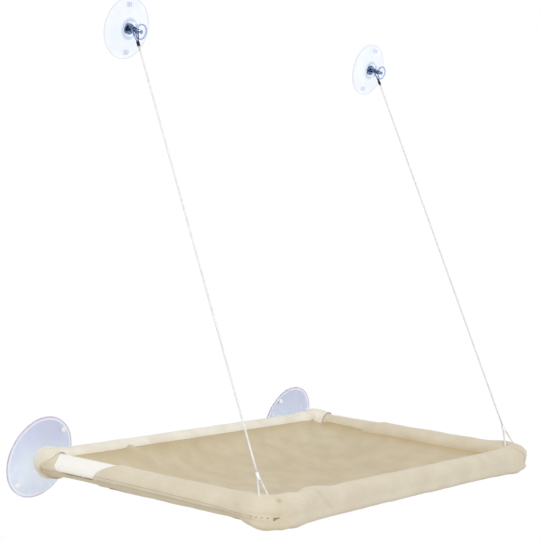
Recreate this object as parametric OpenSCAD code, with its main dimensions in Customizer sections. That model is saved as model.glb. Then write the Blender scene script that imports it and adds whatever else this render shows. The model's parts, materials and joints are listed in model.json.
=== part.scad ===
// Window perch for a pet: a tube frame in a sewn cloth cover, on two lower suction cups,
// with its front corners hung by two cables from two upper suction cups.
// Origin: midway between the lower cups, on the window glass. +Y goes into the glass, +Z is up.

/* [Bed frame] */
// Width between the axes of the two side tubes
bed_w = 550; // [420:1:700]
// Depth between the axes of the rear and front tubes
bed_d = 345; // [260:1:450]
// Upward tilt of the bed towards the room, in degrees, held by the taut cables
bed_tilt = 11.6; // [0:0.1:20]
// Outer diameter of the frame tubes
tube_d = 21.3; // [18:0.1:24]
// Wall of the frame tubes
tube_wall = 2.4; // [1.5:0.1:3]
// Radius of the elbows' bend, on its centreline
bend_r = 16; // [15.5:0.5:19]
// Length of an elbow's spigot inside a tube
spigot_len = 20; // [12:1:30]
// Bore through the elbows
elbow_bore = 11; // [6:0.5:12]

/* [Suction cups] */
// Distance of each cup's axis inside the axis of the side tube on its side
cup_inset = 23; // [22.9:0.1:24]
// Height of the upper cups above the lower cups
upper_h = 529; // [420:1:700]
// Diameter of a lower cup
lower_cup_d = 104; // [80:1:130]
// Diameter of an upper cup
upper_cup_d = 72; // [60:1:100]
// Width of the flat ring that seals on the glass
seal_w = 9; // [5:0.5:12]
// Thickness of a cup's rim
rim_t = 1.6; // [1:0.1:3]
// Height of a cup's dome above the glass
dome_h = 6; // [5:0.5:9]
// Height of the hollow under the dome
hollow_h = 3; // [1.5:0.1:3.5]
// Diameter of a cup's central boss
boss_d = 19; // [16:0.5:24]
// Distance from the glass to the end of a lower boss
lower_boss_len = 11.2; // [10.5:0.1:12]
// Distance from the glass to the end of an upper boss
upper_boss_len = 10.2; // [9.6:0.1:10.3]
// Side of the square release nubs near a cup's rim
nub_side = 5; // [3:0.5:7]
// Height of the release nubs above the dome
nub_h = 2; // [1:0.1:3]
// Angle of the release nubs on the left lower cup
lower_nub_angle = 48; // [0:1:180]
// Angle of the release nubs on the left upper cup
upper_nub_angle = 100; // [0:1:180]

/* [Studs and fasteners] */
// Diameter of the threaded studs
stud_d = 5; // [4:0.5:6]
// Diameter of the head moulded into a cup
stud_head_d = 13; // [10:0.5:14]
// Thickness of that head
stud_head_t = 2; // [1:0.1:2.5]
// Distance from the glass to the tip of a lower stud
lower_stud_len = 16.6; // [15:0.1:17]
// Diameter of the clear disc screwed on the tip of an upper stud
disc_d = 18.6; // [14:0.2:24]
// Thickness of that disc
disc_t = 3; // [2:0.1:4]
// Thickness of the disc's closed face, in front of the stud's tip
disc_face_t = 0.8; // [0.6:0.1:1.2]

/* [Rear tube clips] */
// Distance from the glass to the axis of the rear tube
tube_gap = 29; // [28.5:0.1:33]
// Height of the rear tube's axis above the lower cups' axes
tube_rise = 8; // [6:0.1:9]
// Wall of a clip's ring
clip_wall = 2.4; // [1.8:0.1:2.6]
// Width of a clip along the tube
clip_w = 13; // [12.5:0.1:13]
// Diameter of a clip's boss
clip_boss_d = 12.5; // [11.5:0.1:12.5]
// Diameter of the threaded insert in a clip's boss
insert_d = 8; // [7:0.1:8.5]
// Length of the threaded insert
insert_len = 5.2; // [4:0.1:5.4]

/* [Cables] */
// Diameter of the coated cable
cable_d = 2.2; // [1.5:0.1:3]
// Diameter of the bare wire of the upper eyes
eye_wire_d = 1.6; // [1.2:0.1:1.8]
// Radius of an upper eye's wire round its stud
eye_r = 4.3; // [4.3:0.1:4.4]
// Distance from the glass to the middle of an upper eye
eye_out = 13.8; // [13.8:0.1:14.6]
// Distance along the cable from the stud's axis to the upper ferrule
eye_reach = 15; // [14:0.5:20]
// Length of an upper ferrule
upper_ferrule_len = 5.5; // [4:0.5:9]
// Place of a lower loop on its elbow, in degrees round the bend from the side tube
loop_bend_angle = 30; // [10:1:45]
// Room between a lower loop's wire and the elbow it goes round
loop_slack = 1.4; // [1:0.1:1.5]
// Distance along the cable from the elbow's axis to the lower ferrule
loop_reach = 33; // [28:0.5:45]
// Length of a lower ferrule
lower_ferrule_len = 8.5; // [6:0.5:12]
// Wall of both ferrules round the wire
ferrule_wall = 0.6; // [0.4:0.1:1]

/* [Cover] */
// Thickness of the cover's cloth as sewn
cloth_t = 1.2; // [0.8:0.1:1.6]
// Gap between the cloth and what it wraps
cloth_gap = 0.3; // [0.2:0.1:0.5]
// Height of the front band's hanging fold below its tube's axis
front_drop = 19; // [18:0.5:30]
// Inner half width of the front corner pockets
pocket_half_w = 14.7; // [14.6:0.1:14.7]
// Length of the front corner pockets from the corner
pocket_len = 40; // [34:1:60]
// Length of the rear corner pockets along the side tubes
rear_pocket_len = 24; // [20:1:30]
// Depth of the sling's sag below its edges
sling_sag = 32; // [15:1:45]
// Length of the hook and loop tape on a side tube
tape_len = 74; // [40:1:100]
// Thickness of the tape
tape_t = 0.9; // [0.5:0.1:1.2]
// Part of a turn that the tape covers, in degrees
tape_angle = 130; // [90:5:160]

/* [Hidden] */
$fn = 64;

// Clearances and the overrun of cuts
run_fit = 0.05;
touch_gap = 0.3;
over = 5;

// Frame and the spacing of its cups
cup_spacing = bed_w - 2 * cup_inset;
tube_r = tube_d / 2;
bore_r = tube_r - tube_wall;
spigot_r = bore_r - run_fit;
half_w = bed_w / 2;

// Cover
sleeve_in_r = tube_r + cloth_gap;
sleeve_out_r = sleeve_in_r + cloth_t;
pocket_out_w = pocket_half_w + cloth_t;

// The tape starts this far round the side tube, from its inner side up, and lies this far off it
tape_start = 70;
tape_gap = 0.1;

// Clip
clip_in_r = tube_r + run_fit;
clip_out_r = clip_in_r + clip_wall;
stud_hole_r = stud_d / 2 + run_fit;
insert_start = lower_boss_len + touch_gap;

stud_embed = dome_h - stud_head_t;

// Cable line, from the middle of the lower loop to the middle of the upper eye, on the left side
function bed_point(p) = [
    p.x,
    -tube_gap + p.y * cos(bed_tilt) + p.z * sin(bed_tilt),
    tube_rise - p.y * sin(bed_tilt) + p.z * cos(bed_tilt)
];
cable_low = bed_point([
    -half_w + bend_r * (1 - cos(loop_bend_angle)),
    -bed_d + bend_r * (1 - sin(loop_bend_angle)),
    0
]);
cable_high = [-cup_spacing / 2, -eye_out, upper_h];
cable_span = norm(cable_high - cable_low);
cable_u = (cable_high - cable_low) / cable_span;
// The cable runs under the disc's rim, and the stud's tip ends inside the disc
disc_start =
    eye_out + (disc_d / 2 + touch_gap) * cable_u.y / cable_u.z + eye_wire_d / 2 / cable_u.z + touch_gap;
upper_stud_len = disc_start + disc_t - disc_face_t;

// Frame of the cable: its own directions across the cable, and the turn that sets a loop square
// to the bend of its elbow
cable_flat = norm([cable_u.x, cable_u.y]);
cable_x = [cable_u.x * cable_u.z, cable_u.y * cable_u.z, -cable_flat * cable_flat] / cable_flat;
cable_y = [-cable_u.y, cable_u.x, 0] / cable_flat;
bend_along = [
    -sin(loop_bend_angle),
    cos(loop_bend_angle) * cos(bed_tilt),
    -cos(loop_bend_angle) * sin(bed_tilt)
];
loop_across = cross(bend_along, cable_u);
loop_spin = atan2(-loop_across * cable_x, loop_across * cable_y);
loop_wire_r = cable_d / 2;
loop_r = tube_r + loop_slack + loop_wire_r;
upper_ferrule_start = cable_span - eye_reach - upper_ferrule_len;
lower_ferrule_end = loop_reach + lower_ferrule_len;

// Steps of a wire loop's arc, sides of its round section, and the place of its legs in wire radii
loop_steps = 18;
wire_sides = 10;
leg_share = 1.15;
// Start of a leg's hole below the end of the arc, in wire radii
leg_hole_start_share = 3;

// Bevel of the clamp disc, as a share of its thickness
disc_edge_share = 0.2;

// Sling: its edges hang below the rails, and step in beside the clips and the front pockets
sling_cols = 26;
sling_rows = 18;
edge_low = (sleeve_out_r + cloth_gap + cloth_t / 2) * cos(45);
edge_in = edge_low;
rear_step_in = clip_out_r + cloth_t + 2 * cloth_gap;
front_in = sleeve_out_r + cloth_gap;
front_step_in = pocket_out_w + cloth_gap;
step_ramp = 12;
fold_depth = 1.8;
fold_turn = 540;
side_power = 2.4;
end_power = 2.6;

// Places
module mirrored(side) {
    if (side < 0)
        children();
    else
        mirror([1, 0, 0]) children();
}

module in_bed() {
    translate([0, -tube_gap, tube_rise])
        rotate([-bed_tilt, 0, 0]) children();
}

module on_cup(height) {
    translate([-cup_spacing / 2, 0, height])
        rotate([90, 0, 0]) children();
}

module along_cable() {
    translate(cable_low)
        rotate([0, acos(cable_u.z), atan2(cable_u.y, cable_u.x)]) children();
}

module in_loop_plane() {
    along_cable()
        rotate([0, 0, loop_spin])
            rotate([90, 0, 90]) children();
}

module front_corner() {
    translate([-half_w, -bed_d, 0]) children();
}

module rear_corner() {
    translate([-half_w, 0, 0])
        mirror([0, 1, 0]) children();
}

// Shapes that repeat
module dome(base_r, height) {
    ball_r = (base_r * base_r + height * height) / (2 * height);
    intersection() {
        translate([0, 0, height - ball_r])
            sphere(r = ball_r, $fn = 200);
        cylinder(r = base_r, h = height + over);
    }
}

module stud(length, clear = 0) {
    translate([0, 0, stud_embed - clear])
        cylinder(d = stud_head_d + 2 * clear, h = stud_head_t + 2 * clear);
    translate([0, 0, stud_embed])
        cylinder(d = stud_d + 2 * clear, h = length - stud_embed + clear);
}

module cup(cup_d, boss_len, nub_angle) {
    cup_r = cup_d / 2;
    nub_r = cup_r - seal_w + nub_side / 2 - rim_t;
    difference() {
        union() {
            cylinder(r = cup_r, h = rim_t);
            translate([0, 0, rim_t])
                dome(cup_r - rim_t, dome_h - rim_t);
            cylinder(d = boss_d, h = boss_len);
            for (turn = [0, 180])
                rotate([0, 0, nub_angle + turn])
                    translate([nub_r, 0, (rim_t + nub_h) / 2 + rim_t / 2])
                        cube([nub_side, nub_side, nub_h + rim_t], center = true);
        }
        dome(cup_r - seal_w, hollow_h);
        stud(boss_len + over, run_fit);
    }
}

module round_tube(outer_r, inner_r, length) {
    difference() {
        cylinder(r = outer_r, h = length);
        translate([0, 0, -over])
            cylinder(r = inner_r, h = length + 2 * over);
    }
}

// A section swept round a corner of the frame, from its leg along +Y to its leg along +X
module corner_sweep() {
    translate([bend_r, bend_r, 0])
        rotate([0, 0, 180])
            rotate_extrude(angle = 90)
                translate([bend_r, 0]) children();
}

module elbow() {
    difference() {
        union() {
            corner_sweep() circle(r = tube_r);
            translate([bend_r, 0, 0])
                rotate([0, 90, 0]) cylinder(r = spigot_r, h = spigot_len);
            translate([0, bend_r, 0])
                rotate([-90, 0, 0]) cylinder(r = spigot_r, h = spigot_len);
        }
        corner_sweep() circle(d = elbow_bore);
        translate([bend_r, 0, 0])
            rotate([0, 90, 0]) cylinder(d = elbow_bore, h = spigot_len + over);
        translate([0, bend_r, 0])
            rotate([-90, 0, 0]) cylinder(d = elbow_bore, h = spigot_len + over);
    }
}

// Hanging band: round at the top and at the bottom, straight between
module band_section(half, top, bottom) {
    translate([0, top - half])
        circle(r = half);
    translate([0, half - bottom])
        circle(r = half);
    translate([-half, half - bottom])
        square([2 * half, top + bottom - 2 * half]);
}

module cloth_ring() {
    difference() {
        circle(r = sleeve_out_r);
        circle(r = sleeve_in_r);
    }
}

module band_ring(half, top) {
    difference() {
        band_section(half, top, front_drop);
        band_section(half - cloth_t, top - cloth_t, front_drop - cloth_t);
    }
}

// Wire bent round a stud or a tube, with both legs drawn together: a round arc and two straight legs
function loop_side(wire_r) = wire_r * leg_share;
function loop_touch(wire_r, r, reach) =
    90 - atan2(loop_side(wire_r), reach) - acos(r / norm([loop_side(wire_r), reach]));
function loop_path(wire_r, r, reach) =
    let (touch = loop_touch(wire_r, r, reach))
    concat(
        [[-loop_side(wire_r), reach, 0]],
        [for (k = [0:loop_steps])
            let (a = 180 - touch + (180 + 2 * touch) * k / loop_steps) [r * cos(a), r * sin(a), 0]],
        [[loop_side(wire_r), reach, 0]]
    );

// A round wire along a flat path, with its two end faces square to the cable
module wire(path, wire_r) {
    last = len(path) - 1;
    function tangent(k) =
        k == 0 ? [0, -1, 0] :
        k == last ? [0, 1, 0] :
        let (d = path[k + 1] - path[k - 1]) d / norm(d);
    points = [
        for (k = [0:last])
            let (t = tangent(k), side = [t.y, -t.x, 0])
            for (m = [0:wire_sides - 1])
                path[k]
                + wire_r * cos(360 * m / wire_sides) * side
                + wire_r * sin(360 * m / wire_sides) * [0, 0, 1]
    ];
    faces = concat(
        [for (m = [1:wire_sides - 2]) [0, m + 1, m]],
        [for (k = [0:last - 1], m = [0:wire_sides - 1])
            let (n = (m + 1) % wire_sides)
            [k * wire_sides + m, k * wire_sides + n, (k + 1) * wire_sides + n]],
        [for (k = [0:last - 1], m = [0:wire_sides - 1])
            let (n = (m + 1) % wire_sides)
            [k * wire_sides + m, (k + 1) * wire_sides + n, (k + 1) * wire_sides + m]],
        [for (m = [1:wire_sides - 2])
            [last * wire_sides, last * wire_sides + m, last * wire_sides + m + 1]]
    );
    polyhedron(points, faces);
}

// Straight holes for a loop's legs, from a little below the place where each leaves the round
module leg_holes(wire_r, r, reach, clear) {
    touch = loop_touch(wire_r, r, reach);
    back = leg_hole_start_share * wire_r;
    for (flip = [0, 1])
        mirror([flip, 0, 0])
            translate([r * cos(touch), r * sin(touch), 0])
                rotate([0, 0, touch + 90])
                    translate([-back, 0, 0])
                        rotate([0, 90, 0]) cylinder(r = wire_r + clear, h = reach + back);
}

module ferrule(wire_d, length) {
    outer = wire_d + 2 * ferrule_wall;
    for (flip = [-1, 1])
        translate([0, flip * wire_d / 2, 0]) cylinder(d = outer, h = length);
    translate([-outer / 2, -wire_d / 2, 0])
        cube([outer, wire_d, length]);
}

// Suction cups and what they hold
module upper_cup() {
    color([0.86, 0.92, 0.97, 0.45])
        on_cup(upper_h) cup(upper_cup_d, upper_boss_len, upper_nub_angle);
}

module lower_cup() {
    color([0.80, 0.85, 0.95, 0.55])
        on_cup(0) cup(lower_cup_d, lower_boss_len, lower_nub_angle);
}

module upper_stud() {
    color([0.22, 0.23, 0.27])
        on_cup(upper_h) stud(upper_stud_len);
}

module lower_stud() {
    color([0.22, 0.23, 0.27])
        on_cup(0) stud(lower_stud_len);
}

module clamp_disc() {
    edge = disc_t * disc_edge_share;
    hole = disc_t - disc_face_t + run_fit;
    color([0.88, 0.92, 0.97, 0.5])
        on_cup(upper_h)
            translate([0, 0, disc_start])
                rotate_extrude()
                    polygon([
                        [stud_hole_r, 0], [disc_d / 2 - edge, 0], [disc_d / 2, edge],
                        [disc_d / 2, disc_t - edge], [disc_d / 2 - edge, disc_t],
                        [0, disc_t], [0, hole], [stud_hole_r, hole]
                    ]);
}

module cable_eye() {
    color([0.15, 0.16, 0.22])
        along_cable()
            translate([0, 0, cable_span])
                rotate([90, 180, 90]) wire(loop_path(eye_wire_d / 2, eye_r, eye_reach), eye_wire_d / 2);
}

module upper_ferrule() {
    color([0.10, 0.10, 0.16])
        along_cable()
            translate([0, 0, upper_ferrule_start]) ferrule(eye_wire_d, upper_ferrule_len);
}

module cable() {
    color([0.92, 0.91, 0.91])
        along_cable()
            translate([0, 0, lower_ferrule_end])
                cylinder(d = cable_d, h = upper_ferrule_start - lower_ferrule_end);
}

module lower_ferrule() {
    color([0.95, 0.95, 0.95])
        in_loop_plane()
            translate([0, loop_reach, 0])
                rotate([-90, 90, 0]) ferrule(cable_d, lower_ferrule_len);
}

module cable_loop() {
    color([0.92, 0.91, 0.91])
        in_loop_plane() wire(loop_path(loop_wire_r, loop_r, loop_reach), loop_wire_r);
}

module tube_clip() {
    color([0.93, 0.94, 0.95])
        difference() {
            union() {
                translate([-cup_spacing / 2 - clip_w / 2, -tube_gap, tube_rise])
                    rotate([0, 90, 0]) cylinder(r = clip_out_r, h = clip_w);
                on_cup(0)
                    translate([0, 0, insert_start])
                        cylinder(d = clip_boss_d, h = tube_gap - insert_start - clip_in_r + clip_wall);
            }
            translate([-cup_spacing / 2 - clip_w / 2 - over, -tube_gap, tube_rise])
                rotate([0, 90, 0]) cylinder(r = clip_in_r, h = clip_w + 2 * over);
            on_cup(0)
                cylinder(r = insert_d / 2 + run_fit, h = insert_start + insert_len + run_fit);
        }
}

module clip_insert() {
    color([0.80, 0.66, 0.36])
        on_cup(0)
            translate([0, 0, insert_start])
                round_tube(insert_d / 2, stud_hole_r, insert_len);
}

// Frame
module frame_tube(length) {
    color([0.90, 0.90, 0.88])
        round_tube(tube_r, bore_r, length);
}

module tube_rear() {
    in_bed()
        translate([-half_w + bend_r, 0, 0])
            rotate([0, 90, 0]) frame_tube(bed_w - 2 * bend_r);
}

module tube_front() {
    in_bed()
        translate([-half_w + bend_r, -bed_d, 0])
            rotate([0, 90, 0]) frame_tube(bed_w - 2 * bend_r);
}

module tube_side() {
    in_bed()
        translate([-half_w, -bend_r, 0])
            rotate([90, 0, 0]) frame_tube(bed_d - 2 * bend_r);
}

module elbow_rear() {
    color([0.82, 0.82, 0.80])
        in_bed() rear_corner() elbow();
}

module elbow_front() {
    color([0.82, 0.82, 0.80])
        in_bed() front_corner() elbow();
}

// Cover
function ramp(distance) = min(1, max(0, distance / step_ramp));
function rear_edge(x) =
    let (beside = ramp(abs(x) - cup_spacing / 2 + clip_w / 2 + step_ramp))
    -(edge_in + (rear_step_in - edge_in) * beside);
function front_edge(x) =
    let (beside = ramp(abs(x) - half_w + pocket_len + step_ramp))
    -(bed_d - front_in - (front_step_in - front_in) * beside);
function side_edge(row_share) =
    let (y = -row_share * bed_d)
    let (beside = ramp(-y - bed_d + pocket_len + step_ramp))
    half_w - edge_in - (front_step_in - edge_in) * beside;
function sag_at(s, t) =
    sling_sag * (1 - pow(abs(2 * s - 1), side_power)) * (1 - pow(abs(2 * t - 1), end_power))
    + fold_depth * sin(fold_turn * (s + t)) * sin(180 * s) * sin(180 * t);
function sling_point(i, j, lift) =
    let (s = i / sling_cols, t = j / sling_rows)
    let (x = (2 * s - 1) * side_edge(t))
    let (back = rear_edge(x), front = front_edge(x))
    [x, back + (front - back) * t, -edge_low - sag_at(s, t) + lift];

module sling() {
    cols = sling_cols + 1;
    rows = sling_rows + 1;
    count = cols * rows;
    points = [
        for (lift = [cloth_t / 2, -cloth_t / 2])
            for (j = [0:sling_rows])
                for (i = [0:sling_cols])
                    sling_point(i, j, lift)
    ];
    function at(i, j) = i + cols * j;
    rim = concat(
        [for (i = [0:sling_cols - 1]) at(i, 0)],
        [for (j = [0:sling_rows - 1]) at(sling_cols, j)],
        [for (i = [sling_cols:-1:1]) at(i, sling_rows)],
        [for (j = [sling_rows:-1:1]) at(0, j)]
    );
    faces = concat(
        [for (j = [0:sling_rows - 1], i = [0:sling_cols - 1]) [at(i, j), at(i + 1, j), at(i + 1, j + 1)]],
        [for (j = [0:sling_rows - 1], i = [0:sling_cols - 1]) [at(i, j), at(i + 1, j + 1), at(i, j + 1)]],
        [for (j = [0:sling_rows - 1], i = [0:sling_cols - 1])
            [count + at(i, j), count + at(i + 1, j + 1), count + at(i + 1, j)]],
        [for (j = [0:sling_rows - 1], i = [0:sling_cols - 1])
            [count + at(i, j), count + at(i, j + 1), count + at(i + 1, j + 1)]],
        [for (k = [0:len(rim) - 1])
            let (a = rim[k], b = rim[(k + 1) % len(rim)]) [b, a, count + a]],
        [for (k = [0:len(rim) - 1])
            let (a = rim[k], b = rim[(k + 1) % len(rim)]) [b, count + a, count + b]]
    );
    color([0.80, 0.74, 0.60])
        in_bed() polyhedron(points, faces);
}

module sleeve_rear() {
    length = cup_spacing - clip_w - 2 * touch_gap - cloth_t;
    color([0.87, 0.83, 0.74])
        in_bed()
            translate([-length / 2, 0, 0])
                rotate([0, 90, 0]) round_tube(sleeve_out_r, sleeve_in_r, length);
}

module sleeve_front() {
    length = bed_w - 2 * pocket_len - 2 * touch_gap;
    color([0.87, 0.83, 0.74])
        in_bed()
            translate([-length / 2, -bed_d, 0])
                rotate([90, 0, 90])
                    linear_extrude(length) band_ring(sleeve_out_r, sleeve_out_r);
}

module sleeve_side() {
    length = bed_d - rear_pocket_len - pocket_len - 2 * touch_gap;
    color([0.87, 0.83, 0.74])
        in_bed()
            translate([-half_w, -rear_pocket_len - touch_gap, 0])
                rotate([90, 0, 0]) round_tube(sleeve_out_r, sleeve_in_r, length);
}

module pocket_rear() {
    color([0.85, 0.81, 0.71])
        in_bed()
            rear_corner() {
                corner_sweep() cloth_ring();
                translate([0, rear_pocket_len, 0])
                    rotate([90, 0, 0])
                        linear_extrude(rear_pocket_len - bend_r) cloth_ring();
            }
}

module pocket_front() {
    top = pocket_out_w - loop_wire_r;
    color([0.85, 0.81, 0.71])
        difference() {
            in_bed()
                front_corner() {
                    corner_sweep() band_ring(pocket_out_w, top);
                    translate([bend_r, 0, 0])
                        rotate([90, 0, 90])
                            linear_extrude(pocket_len - bend_r) band_ring(pocket_out_w, top);
                    translate([0, pocket_len, 0])
                        rotate([90, 0, 0])
                            linear_extrude(pocket_len - bend_r) band_ring(pocket_out_w, top);
                }
            in_loop_plane() leg_holes(loop_wire_r, loop_r, loop_reach, cloth_gap);
        }
}

module tape() {
    color([0.93, 0.91, 0.85])
        in_bed()
            translate([-half_w, -rear_pocket_len - touch_gap, 0])
                rotate([90, 0, 0])
                    rotate([0, 0, tape_start])
                        rotate_extrude(angle = tape_angle)
                            translate([sleeve_out_r + tape_gap, 0])
                                square([tape_t, tape_len]);
}

mirrored(-1) upper_cup();  // upper_cup_left
mirrored(1) upper_cup();  // upper_cup_right
mirrored(-1) lower_cup();  // lower_cup_left
mirrored(1) lower_cup();  // lower_cup_right
mirrored(-1) upper_stud();  // upper_stud_left
mirrored(1) upper_stud();  // upper_stud_right
mirrored(-1) lower_stud();  // lower_stud_left
mirrored(1) lower_stud();  // lower_stud_right
mirrored(-1) clamp_disc();  // clamp_disc_left
mirrored(1) clamp_disc();  // clamp_disc_right
mirrored(-1) cable_eye();  // cable_eye_left
mirrored(1) cable_eye();  // cable_eye_right
mirrored(-1) upper_ferrule();  // upper_ferrule_left
mirrored(1) upper_ferrule();  // upper_ferrule_right
mirrored(-1) cable();  // cable_left
mirrored(1) cable();  // cable_right
mirrored(-1) lower_ferrule();  // lower_ferrule_left
mirrored(1) lower_ferrule();  // lower_ferrule_right
mirrored(-1) cable_loop();  // cable_loop_left
mirrored(1) cable_loop();  // cable_loop_right
mirrored(-1) tube_clip();  // tube_clip_left
mirrored(1) tube_clip();  // tube_clip_right
mirrored(-1) clip_insert();  // clip_insert_left
mirrored(1) clip_insert();  // clip_insert_right
tube_rear();
tube_front();
mirrored(-1) tube_side();  // tube_left
mirrored(1) tube_side();  // tube_right
mirrored(-1) elbow_rear();  // elbow_rear_left
mirrored(1) elbow_rear();  // elbow_rear_right
mirrored(-1) elbow_front();  // elbow_front_left
mirrored(1) elbow_front();  // elbow_front_right
sling();
sleeve_rear();
sleeve_front();
mirrored(-1) sleeve_side();  // sleeve_left
mirrored(1) sleeve_side();  // sleeve_right
mirrored(-1) pocket_rear();  // pocket_rear_left
mirrored(1) pocket_rear();  // pocket_rear_right
mirrored(-1) pocket_front();  // pocket_front_left
mirrored(1) pocket_front();  // pocket_front_right
mirrored(-1) tape();  // tape_left
mirrored(1) tape();  // tape_right
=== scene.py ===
"""Window perch for a pet: camera, materials, sewn cover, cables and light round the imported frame.

All lengths are in metres. The bed's own axes are x to the right, y towards the glass and z up
from the bed, with their zero in the middle of the rear tube.
"""

import json
from math import acos, atan2, copysign, cos, degrees, exp, hypot, pi, radians, sin, sqrt

import bpy
from mathutils import Matrix, Vector, noise


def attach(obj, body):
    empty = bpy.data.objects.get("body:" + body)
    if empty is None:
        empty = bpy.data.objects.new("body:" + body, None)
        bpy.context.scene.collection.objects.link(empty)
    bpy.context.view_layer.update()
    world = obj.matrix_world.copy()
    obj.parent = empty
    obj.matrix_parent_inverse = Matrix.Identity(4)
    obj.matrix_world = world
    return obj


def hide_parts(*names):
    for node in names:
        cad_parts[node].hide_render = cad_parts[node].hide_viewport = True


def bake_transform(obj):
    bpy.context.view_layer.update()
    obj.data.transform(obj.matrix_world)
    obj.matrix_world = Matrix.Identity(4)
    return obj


# Sizes shared with the solids
BED_W = 0.550
BED_D = 0.345
BED_TILT = radians(11.6)
BEND_R = 0.016
TUBE_GAP = 0.029
TUBE_RISE = 0.008
CUP_SPACING = 0.504
UPPER_H = 0.529
EYE_OUT = 0.0138
EYE_REACH = 0.015
UPPER_FERRULE_LEN = 0.0055
LOOP_BEND_ANGLE = radians(30)
LOOP_REACH = 0.033
LOWER_FERRULE_LEN = 0.0085
CABLE_D = 0.0022
CLOTH_T = 0.0012
COVER_T = CLOTH_T * 0.6
FRONT_DROP = 0.0176
CORNER_HALF_W = 0.0166
CORNER_TOP = 0.0158
SLING_SAG = 0.032
TAPE_LEN = 0.074
CLIP_HALF_W = 0.0065
HALF_W = BED_W / 2
LEFT = -1
RIGHT = 1


def unit(vector):
    return vector.normalized()


def clamp(value, low=0.0, high=1.0):
    return max(low, min(high, value))


def smooth(value):
    value = clamp(value)
    return value * value * (3 - 2 * value)


def mix(a, b, share):
    return a + (b - a) * share


def bump(value, middle, half_width):
    """A smooth hill of height 1 at middle, gone half_width away."""
    return smooth(1 - abs(value - middle) / half_width)


def rise_from(value, start, width):
    """0 up to start, then a soft rise to 1 over a width."""
    return smooth((value - start) / width)


def fall_from(value, start, width):
    """1 up to start, then a soft fall to 0 over a width."""
    return smooth(1 - (value - start) / width)


def bed(x, y, z):
    """A point in the bed's own axes, in the scene's axes."""
    c = cos(BED_TILT)
    s = sin(BED_TILT)
    return Vector((x, -TUBE_GAP + y * c + z * s, TUBE_RISE - y * s + z * c))


def srgb(*channels):
    """A colour of 0 to 255 a channel, as linear values."""
    shares = [channel / 255 for channel in channels]
    linear = [x / 12.92 if x <= 0.04045 else ((x + 0.055) / 1.055) ** 2.4 for x in shares]
    return (*linear, 1.0)


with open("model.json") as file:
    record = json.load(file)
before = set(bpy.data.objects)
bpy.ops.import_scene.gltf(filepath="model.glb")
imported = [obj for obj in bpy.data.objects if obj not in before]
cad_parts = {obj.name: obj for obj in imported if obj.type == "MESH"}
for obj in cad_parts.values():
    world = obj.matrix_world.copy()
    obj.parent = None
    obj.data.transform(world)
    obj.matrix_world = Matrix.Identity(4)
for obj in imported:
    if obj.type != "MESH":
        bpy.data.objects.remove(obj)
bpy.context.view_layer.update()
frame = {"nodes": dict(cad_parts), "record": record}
scene = bpy.context.scene

# Camera at the photograph's place, from its yaw, pitch and roll
CAMERA_AT = Vector((-1.5556, -1.2294, 0.6075))
CAMERA_YAW = 0.94754
CAMERA_PITCH = -0.17106
CAMERA_ROLL = 0.22283
FRAME_PX = 540
FOCAL_PX = 1521.84
CENTRE_PX = (282.88, 262.6)
SENSOR_MM = 36


def make_camera():
    """A camera with the photograph's place, turn, focal length and centre."""
    forward = Vector((
        sin(CAMERA_YAW) * cos(CAMERA_PITCH),
        cos(CAMERA_YAW) * cos(CAMERA_PITCH),
        sin(CAMERA_PITCH),
    ))
    level = Vector((cos(CAMERA_YAW), -sin(CAMERA_YAW), 0))
    upright = level.cross(forward)
    across = level * cos(CAMERA_ROLL) + upright * sin(CAMERA_ROLL)
    up = across.cross(forward)
    turn = Matrix((across, up, -forward)).transposed().to_4x4()
    data = bpy.data.cameras.new("camera")
    data.sensor_width = SENSOR_MM
    data.lens = FOCAL_PX / FRAME_PX * SENSOR_MM
    data.shift_x = (FRAME_PX / 2 - CENTRE_PX[0]) / FRAME_PX
    data.shift_y = (CENTRE_PX[1] - FRAME_PX / 2) / FRAME_PX
    camera = bpy.data.objects.new("camera", data)
    camera.matrix_world = Matrix.Translation(CAMERA_AT) @ turn
    scene.collection.objects.link(camera)
    scene.camera = camera


make_camera()

# Materials, with tones of 0 to 255 a channel


def new_material(name, color, **settings):
    """A material and its shader, with values for the shader's sockets."""
    material = bpy.data.materials.new(name)
    material.use_nodes = True
    shader = material.node_tree.nodes["Principled BSDF"]
    shader.inputs["Base Color"].default_value = srgb(*color)
    for socket, value in settings.items():
        shader.inputs[socket].default_value = value
    return material, shader


def add_node(beside, kind, **values):
    """A node in the tree that beside is part of, with values for its sockets or its settings."""
    node = beside.id_data.nodes.new(kind)
    for name, value in values.items():
        if name in node.inputs:
            node.inputs[name].default_value = value
        else:
            setattr(node, name, value)
    return node


def join(out_socket, in_socket):
    in_socket.id_data.links.new(out_socket, in_socket)


def math_node(operation, first, second=None):
    """A sum on one or two values, each a socket or a plain number, with one socket at least."""
    beside = second if isinstance(first, (int, float)) else first
    node = add_node(beside, "ShaderNodeMath", operation=operation)
    for place, value in enumerate((first, second)):
        if value is None:
            continue
        if isinstance(value, (int, float)):
            node.inputs[place].default_value = value
        else:
            join(value, node.inputs[place])
    return node.outputs[0]


def tint_node(share, first, second):
    """A mix of two colours, each a socket or a tone."""
    node = add_node(share, "ShaderNodeMix", data_type="RGBA")
    join(share, node.inputs["Factor"])
    for name, value in (("A", first), ("B", second)):
        if isinstance(value, tuple):
            node.inputs[name].default_value = srgb(*value)
        else:
            join(value, node.inputs[name])
    return node.outputs["Result"]


def range_node(value, low, high):
    """0 below low and 1 above high, with a soft step between."""
    node = add_node(value, "ShaderNodeMapRange", interpolation_type="SMOOTHSTEP")
    join(value, node.inputs["Value"])
    node.inputs["From Min"].default_value = low
    node.inputs["From Max"].default_value = high
    return node.outputs["Result"]


def object_place(beside, scale=(1, 1, 1)):
    place = add_node(beside, "ShaderNodeTexCoord")
    mapping = add_node(beside, "ShaderNodeMapping", Scale=scale)
    join(place.outputs["Object"], mapping.inputs["Vector"])
    return mapping.outputs["Vector"]


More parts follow.
